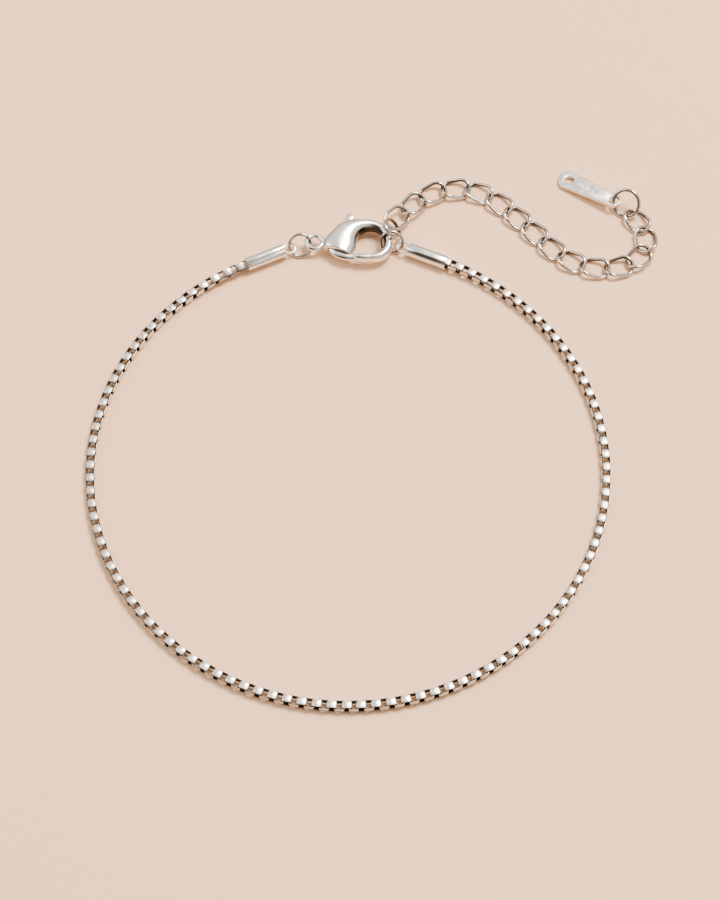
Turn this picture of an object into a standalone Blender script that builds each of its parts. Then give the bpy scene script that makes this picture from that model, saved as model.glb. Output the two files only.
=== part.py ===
"""Venetian chain bracelet with a lobster clasp, an extender chain and an end tag.

It lies fastened on the floor (z = 0), seen from above: the loop's bottom is towards -Y, the clasp and the
extender are towards +Y. All lengths are in metres; the sizes below are written in millimetres times MM.
"""

import math

import bmesh
import bpy
import numpy as np
from mathutils import Matrix, Vector

MM = 0.001

# Venetian (box) chain: square rings of flat strip, each turned a quarter against the next
CHAIN_WIDTH = 1.05 * MM
LINK_PITCH = 0.75 * MM  # from one link to the next
STRIP_THICKNESS = 0.14 * MM
STRIP_PLAY = 0.02 * MM  # between a strip's edge and the wall of the link it passes through
LINKS_SHOWING = 195  # from one cap's mouth to the other's
LINKS_IN_CAP = 2  # pushed into each cap
JOIN_OVERLAP = 0.03 * MM  # neighbouring links bear on each other this deep, so that a half chain is one body
HALF_CHAIN_GAP = 0.06 * MM  # between the two half chains, where they meet at the loop's bottom
LIFT_LENGTH = 8.0 * MM  # over which the chain rises and rolls from the floor into a cap

# folded end caps
CAP_WALL = 0.17 * MM
CAP_PLAY = 0.045 * MM  # round the chain
CAP_CORNER = 0.30 * MM  # inside corner of the folded sheet
CAP_ROUND = 0.62 * MM  # its outside corner, polished rounder
CAP_FOLD_LENGTH = 4.5 * MM  # mouth to the outer face of the end wall
CAP_END_WALL = 0.25 * MM
CAP_END_STEP = 0.08 * MM  # the end wall stands out of the fold this far
CAP_END_TAPER = 0.93  # and narrows to this share at its outer face
CAP_SEAM = 0.05 * MM  # the slit where the two flaps meet
CAP_SEAM_ROUND = 0.09 * MM  # rounding of the flaps' edges at the seam
LEFT_CAP_ROLL = math.radians(25.0)  # the left cap's seam leans towards -Y
TONGUE_THICKNESS = 0.28 * MM
TONGUE_RIM = 0.16 * MM  # metal round the tongue's hole
TONGUE_ROOT = 1.00 * MM  # its width where it leaves the end wall
TONGUE_HOLE = 1.10 * MM
TONGUE_REACH = 0.62 * MM  # end wall to the hole's centre
TONGUE_SUNK = 0.7  # share of the end wall that the tongue's root goes into
TONGUE_SWEEP = math.pi * 1.32  # of its round end
TONGUE_POINTS = 13
HOLE_SIDES = 14  # of the holes in the tongues and the tag

# jump rings and the extender
JUMP_RING_SIZE = 2.80 * MM  # outside
JUMP_WIRE = 0.34 * MM
JUMP_TILT = math.radians(37.0)  # far side up, about the line that the ring pulls along
EXT_LINK_LENGTH = 3.53 * MM  # outside
EXT_LINK_WIDTH = 2.60 * MM  # outside
EXT_WIRE = 0.40 * MM
EXT_PLAY = 0.04 * MM  # between two links' wires where they pull on each other
EXT_LINK_TWIST = math.radians(25.0)  # each end of a link is turned this far, one way and the other
EXT_LINKS = 16
TAG_RING_SIZE = 3.35 * MM
WIRE_SIDES = 6  # round the wire
RING_SECTIONS = 14
LINK_SECTIONS = 12
WIRE_PLAY = 0.06 * MM  # clear space left round a wire that passes through a hole

# lobster clasp, lying flat. Its own x runs from the eye to the hook, its y away from the lever's arm
CLASP_THICKNESS = 2.24 * MM
HOOK_OPENING = 3.00 * MM  # across the round opening inside the hook
EYE_HOLE = 1.20 * MM
EYE_WIRE = 0.50 * MM
EYE_SETBACK = 6.10 * MM  # eye's centre to the centre of the hook's opening
LEVER_THICKNESS = 0.72 * MM
SLOT_PLAY = 0.08 * MM  # between the lever and its slot in the body, above, below and round its swing
LEVER_HUB = 0.92 * MM  # radius
LEVER_SWING = math.radians(20.0)
PIVOT_SETBACK = 3.90 * MM  # pivot to the centre of the hook's opening
PIVOT_OFFSET = -0.10 * MM
RIVET_SIZE = 0.70 * MM
RIVET_PLAY = 0.04 * MM
RIVET_LENGTH = 1.70 * MM  # blind: its ends stay under the polished sides
GATE_SEAM = 0.07 * MM  # between the lever's tip and the hook's tip
TRIGGER_ANGLE = math.radians(62.5)  # of the trigger arm at the pivot, from the clasp's own x
TRIGGER_REACH = 4.10 * MM  # pivot to the end of the finger nub
TRIGGER_WIDTH = 0.96 * MM

# end tag
TAG_LENGTH = 7.75 * MM
TAG_WIDTH = 2.35 * MM  # at the free end
TAG_EYE_WIDTH = 1.62 * MM  # at the ring
TAG_THICKNESS = 0.42 * MM
TAG_HOLE = 1.00 * MM  # at the free end
TAG_EYE_HOLE = 1.06 * MM
TAG_HOLE_SETBACK = 1.30 * MM  # free end to its hole's centre
TAG_EDGE_BEVEL = 0.06 * MM
TAG_YAW = math.radians(146.52)  # from the ring to the free end
TAG_LEAN = math.radians(6.33)  # its eye rests on the ring's wire, its free end on the floor

# where the pieces lie, on the floor plane
CLASP_AT = (-0.833 * MM, 22.326 * MM)  # centre of the hook's opening
LEFT_RING_YAW = math.radians(11.0)  # from the left cap to the eye
# the ring that the hook holds, and the extender's first two links, as they lie against the hook: mm and degrees
RIGHT_HOLE = (2.721, 21.917)  # the right cap's
RIGHT_RING = {"at": (1.472, 22.320, 1.133), "yaw": 1.72, "pitch": 4.46, "roll": 51.62}
FIRST_LINKS = [
    {"at": (1.582, 23.883, 1.441), "yaw": 60.71, "pitch": -45.13, "roll": 37.35, "twist": 0.0},
    {"at": (2.077, 25.624, 0.952), "yaw": 47.08, "pitch": -11.46, "roll": 22.84, "twist": 2.16},
]
# the tag's ring and the middle of the tag's eye, from the last link's far end: mm and degrees. The ring's height is
# from the floor
TAG_RING = {"at": (-0.425, 0.663, 1.247), "yaw": 135.47, "pitch": 13.38, "roll": -43.31}
TAG_EYE_AT = (-1.769, 1.144)
# the extender's route: the few chosen points that its links follow, in links counted from the second one's far end
EXTENDER_ROUTE = [
    (0.00, 0.00),
    (0.68, 0.73),
    (1.62, 1.15),
    (2.61, 1.18),
    (3.52, 0.80),
    (4.98, -0.63),
    (6.40, -2.17),
    (7.24, -2.60),
    (8.21, -2.72),
    (9.22, -2.46),
    (9.85, -1.71),
    (9.78, -0.80),
    (9.28, -0.06),
    (8.44, 0.72),
]

# The clasp's body and hook are lofted through these sections, from the hook's tip round to the lever's side.
# Each runs between an inner and an outer point, given by their angle (degrees, at the opening's centre) and
# their distance as a share of the opening's radius; "half" is its half height as a share of the clasp's.
BODY_SECTIONS = [
    # inner angle, inner, outer angle, outer, half
    (-91.0, 1.09, -91.0, 1.65, 0.60),
    (-75.0, 1.08, -75.0, 1.68, 0.60),
    (-55.0, 1.06, -55.0, 1.72, 0.60),
    (-30.0, 1.02, -30.0, 1.72, 0.58),
    (0.0, 1.00, 0.0, 1.66, 0.56),
    (30.0, 1.00, 30.0, 1.67, 0.57),
    (60.0, 1.02, 60.0, 1.73, 0.62),
    (85.0, 1.04, 85.0, 1.81, 0.68),
    (105.0, 1.04, 105.0, 1.94, 0.76),
    (122.0, 1.01, 122.0, 2.19, 0.87),
    (138.0, 0.99, 138.0, 2.58, 0.96),
    (152.0, 0.98, 150.0, 2.84, 1.00),
    (166.0, 0.98, 161.0, 3.00, 1.00),
    (180.0, 0.99, 171.0, 3.26, 0.97),
    (197.0, 1.05, 178.0, 3.46, 0.94),
    (212.0, 1.30, 184.0, 3.54, 0.90),
    (223.0, 1.82, 188.0, 3.50, 0.85),
]
# how finely the rounds are cut: few sides, so that the part stays small
BODY_SIDES = 12
EYE_SECTIONS = 16
EYE_SIDES = 8
HUB_SIDES = 20
BORE_SIDES = 16
RIVET_SIDES = 12
NUB_POINTS = 9
# The lever's gate, lofted from its tip towards the pivot: centre as shares of the opening's radius along the
# clasp's own x and y, half width likewise, and half height as a share of the clasp's.
GATE_SECTIONS = [
    # x, y, half width, half height
    (-0.05, -1.370, 0.28, 0.60),
    (-0.40, -1.385, 0.28, 0.61),
    (-0.75, -1.365, 0.28, 0.61),
    (-1.02, -1.315, 0.26, 0.56),
]
# The lever's plate, inside the slot, runs along this line from the pivot to the gate: (x, y, half width), shares
# as above
ARM_LINE = [
    (-2.60, -0.067, 0.61),
    (-2.43, -0.63, 0.57),
    (-1.83, -1.07, 0.45),
    (-0.95, -1.32, 0.24),
]


def material(name, colour, roughness):
    """A metal for one piece."""
    mat = bpy.data.materials.new(name)
    mat.use_nodes = True
    shader = mat.node_tree.nodes["Principled BSDF"]
    shader.inputs["Base Color"].default_value = (*colour, 1.0)
    shader.inputs["Metallic"].default_value = 1.0
    shader.inputs["Roughness"].default_value = roughness
    mat.diffuse_color = (*colour, 1.0)
    return mat


SILVER = (0.86, 0.85, 0.83)
BUFFED = 0.12  # roughness
TUMBLED = 0.14
SATIN = 0.18


def solid(name, verts, faces, roughness=BUFFED, helper=False):
    """A closed mesh object from points and faces, its normals facing out."""
    mesh = bpy.data.meshes.new(name)
    mesh.from_pydata([tuple(v) for v in verts], [], [tuple(f) for f in faces])
    shell = bmesh.new()
    shell.from_mesh(mesh)
    bmesh.ops.recalc_face_normals(shell, faces=shell.faces)
    shell.to_mesh(mesh)
    shell.free()
    obj = bpy.data.objects.new(name, mesh)
    bpy.context.scene.collection.objects.link(obj)
    obj.hide_render = helper
    if not helper:
        mesh.materials.append(material(f"silver_{name}", SILVER, roughness))
    return obj


def boolean(obj, other, operation):
    """A live Boolean with a helper object, which stays out of the part."""
    mod = obj.modifiers.new(f"{operation.lower()}_{other.name}", "BOOLEAN")
    mod.object = other
    mod.operation = operation
    mod.solver = "EXACT"


def tube(points, ups, radius, sides):
    """A closed ring of wire round a closed line of points. ups give each section's turn."""
    points, ups = np.array(points), np.array(ups)
    ahead = np.roll(points, -1, axis=0) - np.roll(points, 1, axis=0)
    ahead /= np.linalg.norm(ahead, axis=1)[:, None]
    across = np.cross(ahead, ups)
    across /= np.linalg.norm(across, axis=1)[:, None]
    ups = np.cross(across, ahead)
    verts, faces, count = [], [], len(points)
    for point, a, u in zip(points, across, ups):
        for k in range(sides):
            turn = 2 * math.pi * (k + 0.5) / sides
            verts.append(point + radius * (math.cos(turn) * a + math.sin(turn) * u))
    for i in range(count):
        j = (i + 1) % count
        for k in range(sides):
            m = (k + 1) % sides
            faces.append((i * sides + k, j * sides + k, j * sides + m, i * sides + m))
    return verts, faces


def loft(rings):
    """A closed solid through rings of points, all the same count, with flat ends."""
    sides = len(rings[0])
    verts = [point for ring in rings for point in ring]
    faces = []
    for i in range(len(rings) - 1):
        for k in range(sides):
            m = (k + 1) % sides
            faces.append((i * sides + k, (i + 1) * sides + k, (i + 1) * sides + m, i * sides + m))
    faces.append(tuple(range(sides)))
    faces.append(tuple(reversed(range(len(verts) - sides, len(verts)))))
    return verts, faces


def prism(outline, bottom, top):
    """A flat plate with this outline between two heights."""
    return loft([[(x, y, z) for x, y in outline] for z in (bottom, top)])


def circle(centre, radius, count, start=0.0, sweep=2 * math.pi):
    """Points on a circle, or on an arc with both its ends."""
    steps = count if sweep == 2 * math.pi else count - 1
    angles = [start + sweep * i / steps for i in range(count)]
    return [(centre[0] + radius * math.cos(a), centre[1] + radius * math.sin(a)) for a in angles]


def axes(yaw, pitch=0.0, roll=0.0):
    """A link's own axes: x along its length, y across it, z out of its plane. Roll 0 lies flat."""
    return Matrix.Rotation(yaw, 3, "Z") @ Matrix.Rotation(-pitch, 3, "Y") @ Matrix.Rotation(roll, 3, "X")


def aimed(start, end, roll):
    """Axes whose x runs from start to end."""
    d = Vector(end) - Vector(start)
    return axes(math.atan2(d.y, d.x), math.atan2(d.z, math.hypot(d.x, d.y)), roll)


# rings and links of round wire


def ring_of_wire(name, centre, turn, size, wire, sections=RING_SECTIONS):
    """A round jump ring of this outside size."""
    radius = (size - wire) / 2
    points, ups = [], []
    for i in range(sections):
        a = 2 * math.pi * (i + 0.5) / sections
        points.append(Vector(centre) + turn @ Vector((radius * math.cos(a), radius * math.sin(a), 0)))
        ups.append(turn @ Vector((0, 0, 1)))
    return solid(name, *tube(points, ups, wire / 2, WIRE_SIDES))


def oval_link(name, centre, turn, twist):
    """An oval link of the extender, twisted along its length from -twist to +twist."""
    half_length, radius = (EXT_LINK_LENGTH - EXT_WIRE) / 2, (EXT_LINK_WIDTH - EXT_WIRE) / 2
    straight = half_length - radius
    points, ups = [], []
    for i in range(LINK_SECTIONS):
        a = 2 * math.pi * (i + 0.5) / LINK_SECTIONS
        x = radius * math.cos(a) + math.copysign(straight, math.cos(a))
        lean = Matrix.Rotation(twist * x / half_length, 3, "X")
        points.append(Vector(centre) + turn @ (Vector((x, 0, 0)) + lean @ Vector((0, radius * math.sin(a), 0))))
        ups.append(turn @ lean @ Vector((0, 0, 1)))
    return solid(name, *tube(points, ups, EXT_WIRE / 2, WIRE_SIDES))


# lobster clasp

CLASP_MID = CLASP_THICKNESS / 2
HOOK_RADIUS = HOOK_OPENING / 2
PIVOT = Vector((-PIVOT_SETBACK, PIVOT_OFFSET))
EYE_AT = Vector((-EYE_SETBACK, 0.0))


def on_clasp(x, y, z=0.0):
    """A point in the clasp's own frame, on the floor plane, as a place in the part."""
    return Vector((CLASP_AT[0] + x, CLASP_AT[1] + y, CLASP_MID + z))


def clasp_solid(name, verts, faces, helper=False):
    """A solid given in the clasp's own frame."""
    return solid(name, [on_clasp(*v) for v in verts], faces, helper=helper)


def oval_section(inner, outer, half, power=2.2):
    """A rounded upright section between two points of the middle plane."""
    centre = [(a + b) / 2 for a, b in zip(inner, outer)]
    reach = [(b - a) / 2 for a, b in zip(inner, outer)]
    ring = []
    for k in range(BODY_SIDES):
        turn = 2 * math.pi * (k + 0.5) / BODY_SIDES
        c, s = math.cos(turn), math.sin(turn)
        c, s = math.copysign(abs(c) ** (2 / power), c), math.copysign(abs(s) ** (2 / power), s)
        ring.append((centre[0] + reach[0] * c, centre[1] + reach[1] * c, half * s))
    return ring


def polar(angle, share):
    """A point at this angle, in degrees, and this share of the opening's radius."""
    a = math.radians(angle)
    return HOOK_RADIUS * share * math.cos(a), HOOK_RADIUS * share * math.sin(a)


def make_clasp_body():
    """The lofted hook and domed body, the eye joined to it, less the slot and the rivet's bore."""
    rings = [
        oval_section(polar(a, inner), polar(b, outer), CLASP_MID * half)
        for a, inner, b, outer, half in BODY_SECTIONS
    ]
    body = clasp_solid("clasp_body", *loft(rings))
    eye_radius = (EYE_HOLE + EYE_WIRE) / 2
    points = [(x, y, 0) for x, y in circle(EYE_AT, eye_radius, EYE_SECTIONS)]
    eye = tube(points, [(0, 0, 1)] * EYE_SECTIONS, EYE_WIRE / 2, EYE_SIDES)
    boolean(body, clasp_solid("eye_form", *eye, helper=True), "UNION")
    # the slot that the lever swings in: round its hub, along its trigger arm and along its gate arm
    half = LEVER_THICKNESS / 2 + SLOT_PLAY
    hub = circle(PIVOT, LEVER_HUB + SLOT_PLAY, HUB_SIDES)
    boolean(body, clasp_solid("slot_hub", *prism(hub, -half, half), helper=True), "DIFFERENCE")
    boolean(body, clasp_solid("slot_trigger", *prism(swing_outline(), -half, half), helper=True), "DIFFERENCE")
    boolean(body, clasp_solid("slot_arm", *prism(arm_clearance(), -half, half), helper=True), "DIFFERENCE")
    bore = circle(PIVOT, RIVET_SIZE / 2 + RIVET_PLAY, BORE_SIDES)
    deep = RIVET_LENGTH / 2 + RIVET_PLAY
    boolean(body, clasp_solid("rivet_bore", *prism(bore, -deep, deep), helper=True), "DIFFERENCE")
    return body


def swing_outline():
    """What the trigger arm sweeps, with its clearance, out past the body's edge."""
    points, reach = [], TRIGGER_REACH + 2 * TRIGGER_WIDTH
    side = TRIGGER_WIDTH / 2 + SLOT_PLAY
    for angle, across in ((TRIGGER_ANGLE, -side), (TRIGGER_ANGLE + LEVER_SWING, side)):
        along, left = Vector((math.cos(angle), math.sin(angle))), Vector((-math.sin(angle), math.cos(angle)))
        ends = [PIVOT + left * across, PIVOT + along * reach + left * across]
        points += ends if across < 0 else reversed(ends)
    return [(p.x, p.y) for p in points]


def arm_edges():
    """The lever arm's outline on its opening side and on its outer side, from the hub to the gate."""
    line = [Vector((x * HOOK_RADIUS, y * HOOK_RADIUS)) for x, y, _ in ARM_LINE]
    line[0] = PIVOT.copy()
    inner, outer = [], []
    for i, (point, (_, _, half)) in enumerate(zip(line, ARM_LINE)):
        ahead = (line[min(i + 1, len(line) - 1)] - line[max(i - 1, 0)]).normalized()
        left = Vector((-ahead.y, ahead.x)) * half * HOOK_RADIUS
        inner.append(point + left)
        outer.append(point - left)
    return inner, outer


def arm_clearance():
    """What the gate arm sweeps, with its clearance: open to the outer side, where nothing stops it."""
    inner, outer = arm_edges()
    spin = Matrix.Rotation(LEVER_SWING, 2)
    swept = [PIVOT + spin @ (p - PIVOT) for p in inner]
    ahead = (swept[-1] - swept[-2]).normalized()
    past_gate = swept[-1] + ahead * HOOK_RADIUS * 0.4
    swept = [*(p + Vector((-ahead.y, ahead.x)) * SLOT_PLAY for p in swept), past_gate]
    below = [outer[-1] + Vector((HOOK_RADIUS * 0.5, -HOOK_RADIUS)), outer[1] + Vector((-SLOT_PLAY, -HOOK_RADIUS))]
    behind = [p + Vector((-SLOT_PLAY, -SLOT_PLAY / 2)) for p in (outer[1], outer[0])]
    return [(p.x, p.y) for p in [PIVOT, *swept, *below, *behind]]


def make_lever():
    """The sprung lever: hub, arm with the gate at its end, and the trigger arm with its finger nub."""
    half = LEVER_THICKNESS / 2
    lever = clasp_solid("clasp_lever", *prism(circle(PIVOT, LEVER_HUB, HUB_SIDES), -half, half))
    inner, outer = arm_edges()
    arm = [(p.x, p.y) for p in [*inner, *reversed(outer)]]
    boolean(lever, clasp_solid("arm_form", *prism(arm, -half, half), helper=True), "UNION")
    along = Vector((math.cos(TRIGGER_ANGLE), math.sin(TRIGGER_ANGLE)))
    left = Vector((-along.y, along.x)) * TRIGGER_WIDTH / 2
    nub = PIVOT + along * (TRIGGER_REACH - TRIGGER_WIDTH / 2)
    tip = circle(nub, TRIGGER_WIDTH / 2, NUB_POINTS, TRIGGER_ANGLE - math.pi / 2, math.pi)
    trigger = [tuple(PIVOT + left), tuple(PIVOT - left), *tip]
    boolean(lever, clasp_solid("trigger_form", *prism(trigger, -half, half), helper=True), "UNION")
    rings = []
    line = [Vector((x * HOOK_RADIUS, y * HOOK_RADIUS)) for x, y, _, _ in GATE_SECTIONS]
    for i, (_, _, width, height) in enumerate(GATE_SECTIONS):
        ahead = (line[min(i + 1, len(line) - 1)] - line[max(i - 1, 0)]).normalized()
        if i == 0:  # the tip's face stands square to its own path about the pivot
            ahead = (PIVOT - line[0]).normalized()
        side = Vector((ahead.y, -ahead.x)) * width * HOOK_RADIUS
        centre = line[i] + ahead * (GATE_SEAM if i == 0 else 0)
        rings.append(oval_section(tuple(centre + side), tuple(centre - side), height * CLASP_MID))
    boolean(lever, clasp_solid("gate_form", *loft(rings), helper=True), "UNION")
    bore = prism(circle(PIVOT, RIVET_SIZE / 2 + RIVET_PLAY, BORE_SIDES), -CLASP_THICKNESS, CLASP_THICKNESS)
    boolean(lever, clasp_solid("lever_bore", *bore, helper=True), "DIFFERENCE")
    return lever


def make_rivet():
    """The round pin that the lever turns on."""
    half = RIVET_LENGTH / 2
    return clasp_solid("lever_rivet", *prism(circle(PIVOT, RIVET_SIZE / 2, RIVET_SIDES), -half, half))


# end caps

CAP_INSIDE = CHAIN_WIDTH / 2 + CAP_PLAY  # half the square inside the fold
CAP_OUTSIDE = CAP_INSIDE + CAP_WALL
CAP_REACH = CAP_FOLD_LENGTH + TONGUE_REACH  # mouth to the tongue's hole


def rounded_square(half, radius, turns=5):
    """The outline of a square with round corners, clockwise from its top right one."""
    out, flat = [], half - radius
    for cx, cy, start in ((1, 1, 90), (1, -1, 0), (-1, -1, -90), (-1, 1, -180)):
        for i in range(turns + 1):
            a = math.radians(start - 90 * i / turns)
            out.append((cx * flat + radius * math.cos(a), cy * flat + radius * math.sin(a)))
    return out


def cap_section():
    """The folded sheet, seam up: out and round from one flap's edge to the other's, and back inside."""
    slit, soft = CAP_SEAM / 2, CAP_SEAM_ROUND
    edge = [
        (slit + soft * (1 - math.cos(a)), CAP_OUTSIDE - soft * (1 - math.sin(a)))
        for a in (0, math.pi / 6, math.pi / 3)
    ]
    return [
        *edge,
        *rounded_square(CAP_OUTSIDE, CAP_ROUND),
        *[(-x, y) for x, y in reversed(edge)],
        (-slit, CAP_INSIDE),
        *reversed(rounded_square(CAP_INSIDE, CAP_CORNER)),
        (slit, CAP_INSIDE),
    ]


def make_cap(name, hole, direction, roll, seam_up):
    """A cap whose tongue's hole is at this point.

    direction runs from its mouth to the tongue, and roll leans the fold.
    """
    turn = axes(direction)
    fold = turn @ Matrix.Rotation(roll + (0 if seam_up else math.pi), 3, "X")
    mouth = Vector(hole) - turn @ Vector((CAP_REACH, 0, 0))

    def placed(points, by):
        return [mouth + by @ Vector(p) for p in points]

    section = cap_section()
    rings = [placed([(x, -s, t) for s, t in section], fold) for x in (0.0, CAP_FOLD_LENGTH - CAP_END_STEP)]
    cap = solid(name, *loft(rings))
    plug = rounded_square(CAP_INSIDE + CAP_WALL / 2, CAP_CORNER + CAP_WALL / 2)
    stations = (
        (CAP_FOLD_LENGTH - CAP_END_WALL, 1.0),
        (CAP_FOLD_LENGTH - CAP_END_STEP / 2, 1.0),
        (CAP_FOLD_LENGTH, CAP_END_TAPER),
    )
    rings = [placed([(x, -s * k, t * k) for s, t in plug], fold) for x, k in stations]
    boolean(cap, solid(f"{name}_end_wall", *loft(rings), helper=True), "UNION")
    half = TONGUE_THICKNESS / 2
    radius = TONGUE_HOLE / 2 + TONGUE_RIM
    ends = CAP_FOLD_LENGTH - CAP_END_WALL * TONGUE_SUNK, CAP_FOLD_LENGTH + CAP_END_STEP
    root = [(x, TONGUE_ROOT / 2) for x in ends]
    plan = [
        *reversed(root),
        *[(x, -y) for x, y in root],
        *circle((CAP_REACH, 0), radius, TONGUE_POINTS, -TONGUE_SWEEP / 2, TONGUE_SWEEP),
    ]
    verts, faces = prism(plan, -half, half)
    tongue = solid(f"{name}_tongue", placed(verts, turn), faces, helper=True)
    boolean(cap, tongue, "UNION")
    verts, faces = prism(circle((CAP_REACH, 0), TONGUE_HOLE / 2, HOLE_SIDES), -CAP_OUTSIDE, CAP_OUTSIDE)
    boolean(cap, solid(f"{name}_hole", placed(verts, turn), faces, helper=True), "DIFFERENCE")
    return cap


# the loop of Venetian chain


def loop_shape(left_hole, right_hole):
    """The circle that the chain lies on: it runs on into both caps, which reach to the two tongue holes.

    Returns (radius, half the arc's angle, centre, the way the loop's axis is turned).
    """
    left, right = Vector(left_hole).to_2d(), Vector(right_hole).to_2d()
    half_chord = (right - left).length / 2
    chain = LINKS_SHOWING * LINK_PITCH
    low, high = 2.2, math.pi - 0.05  # half the arc's angle
    for _ in range(60):
        half = (low + high) / 2
        radius = chain / (2 * half)
        if radius * math.sin(half) + CAP_REACH * math.cos(half) > half_chord:
            low = half
        else:
            high = half
    away = (right - left).normalized()
    down = Vector((away.y, -away.x))
    depth = -radius * math.cos(half) + CAP_REACH * math.sin(half)
    centre = (left + right) / 2 + down * depth
    return radius, half, centre, math.atan2(away.y, away.x)


def smooth(t):
    """0 to 1 with level ends: 3 t squared less 2 t cubed."""
    t = min(max(t, 0.0), 1.0)
    return t * t * (3 - 2 * t)


def link_place(s, loop):
    """Where the chain is at this length from the loop's bottom, positive to the right, as (point, axes)."""
    radius, half, centre, lean = loop
    mouth = radius * half
    inside = max(abs(s) - mouth, 0.0)
    angle = math.copysign(min(abs(s), mouth) / radius, s)
    point = Vector((radius * math.sin(angle), -radius * math.cos(angle)))
    ahead = Vector((math.cos(angle), math.sin(angle)))
    point += ahead * math.copysign(inside, s)
    spin = Matrix.Rotation(lean, 2)
    point, yaw = centre + spin @ point, angle + lean
    lift = smooth((abs(s) - mouth + LIFT_LENGTH) / LIFT_LENGTH)
    floor, cap = CHAIN_WIDTH / 2, cap_height(LEFT_CAP_ROLL if s < 0 else 0.0)
    z = floor + (cap - floor) * lift
    roll = lift * (-LEFT_CAP_ROLL if s < 0 else 0.0)
    return Vector((point.x, point.y, z)), axes(yaw, 0.0, roll)


def cap_height(roll):
    """The height of a cap's axis when it lies on the floor, leaning by roll."""
    flat = CAP_OUTSIDE - CAP_ROUND
    return flat * (abs(math.sin(roll)) + math.cos(roll)) + CAP_ROUND


def square_ring(length, width, strip):
    """A square link about the y axis: length along x, width along z, of strip this wide along y."""
    verts, faces = [], []
    for y in (-strip / 2, strip / 2):
        for x, z in ((length / 2, width / 2), (length / 2 - STRIP_THICKNESS, width / 2 - STRIP_THICKNESS)):
            verts += [(x, y, z), (-x, y, z), (-x, y, -z), (x, y, -z)]
    for k in range(4):
        m = (k + 1) % 4
        faces += [
            (k, m, 8 + m, 8 + k),
            (4 + k, 12 + k, 12 + m, 4 + m),
            (k, 4 + k, 4 + m, m),
            (8 + k, 8 + m, 12 + m, 12 + k),
        ]
    return verts, faces


def make_half_chain(name, side, loop):
    """Half the chain, on the left (side -1) or the right (+1) of the loop's bottom.

    Every other link is one mesh, and a Boolean joins it to the links between.
    """
    half_count = int(LINKS_SHOWING + 2 * LINKS_IN_CAP + 1) // 2
    length = LINK_PITCH + 2 * STRIP_THICKNESS - JOIN_OVERLAP
    strip = CHAIN_WIDTH - 2 * STRIP_THICKNESS - 2 * STRIP_PLAY
    # the two half chains' links pass into each other, clear
    first = (LINK_PITCH - JOIN_OVERLAP - HALF_CHAIN_GAP) / 2
    verts, faces = square_ring(length, CHAIN_WIDTH, strip)
    quarter = Matrix.Rotation(math.pi / 2, 3, "X")
    parts = []
    for which in (0, 1):
        points, quads = [], []
        for i in range(which, half_count, 2):
            at, turn = link_place(side * (first + i * LINK_PITCH), loop)
            flip = (i + (side > 0)) % 2
            by = turn @ quarter if flip else turn
            quads += [tuple(len(points) + v for v in face) for face in faces]
            points += [at + by @ Vector(v) for v in verts]
        label = f"{name}_between" if which else name
        parts.append(solid(label, points, quads, TUMBLED, helper=which == 1))
    boolean(parts[0], parts[1], "UNION")
    return parts[0]


# end tag


def make_tag(eye):
    """A flat tag that narrows from its free end to the eye on its ring, with a hole in each end."""
    wide, narrow = TAG_WIDTH / 2, TAG_EYE_WIDTH / 2
    reach = TAG_LENGTH - wide - narrow  # between the two round ends' centres
    lean = math.asin((wide - narrow) / reach)
    plan = circle((0, 0), narrow, 9, math.pi / 2 + lean, math.pi - 2 * lean)
    plan += circle((reach, 0), wide, 13, -math.pi / 2 - lean, math.pi + 2 * lean)
    verts, faces = prism(plan, -TAG_THICKNESS / 2, TAG_THICKNESS / 2)
    turn = axes(TAG_YAW, -TAG_LEAN)
    rise = (TAG_LENGTH - narrow) * math.sin(TAG_LEAN) + TAG_THICKNESS / 2 * math.cos(TAG_LEAN)
    origin = Vector((eye[0], eye[1], rise))
    tag = solid("end_tag", [origin + turn @ Vector(v) for v in verts], faces, SATIN)
    bevel = tag.modifiers.new("soft_edge", "BEVEL")
    bevel.width, bevel.segments = TAG_EDGE_BEVEL, 1
    bevel.limit_method, bevel.angle_limit = "ANGLE", math.radians(60)
    end_hole_at = TAG_LENGTH - narrow - TAG_HOLE_SETBACK
    for label, x, size in (("eye", 0.0, TAG_EYE_HOLE), ("end", end_hole_at, TAG_HOLE)):
        verts, faces = prism(circle((x, 0), size / 2, HOLE_SIDES), -TAG_THICKNESS, TAG_THICKNESS)
        hole = solid(f"tag_{label}_hole", [origin + turn @ Vector(v) for v in verts], faces, helper=True)
        boolean(tag, hole, "DIFFERENCE")
    return tag


# the extender's route


def route_points(start, pitch, steps=24):
    """A smooth line through the chosen points, as many short steps."""
    chosen = [start + Vector((x, y)) * pitch for x, y in EXTENDER_ROUTE]
    ends = [chosen[0] * 2 - chosen[1], *chosen, chosen[-1] * 2 - chosen[-2]]
    out = []
    for a, b, c, d in zip(ends, ends[1:], ends[2:], ends[3:]):
        for i in range(steps):
            t = i / steps
            square = (2 * a - 5 * b + 4 * c - d) * t * t
            cube = (3 * b - a - 3 * c + d) * t**3
            out.append(0.5 * ((2 * b) + (c - a) * t + square + cube))
    return [*out, chosen[-1]]


def next_on_route(route, start, index, distance):
    """The next point of the route this far from start in a straight line, and where on the route it is."""
    while index + 1 < len(route) - 1 and (route[index + 1] - start).length < distance:
        index += 1
    a, b = route[index], route[index + 1]
    low, high = (0.0, 1.0) if (b - start).length >= distance else (1.0, 20.0)
    for _ in range(40):
        t = (low + high) / 2
        if (a + (b - a) * t - start).length < distance:
            low = t
        else:
            high = t
    return a + (b - a) * t, index


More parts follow.
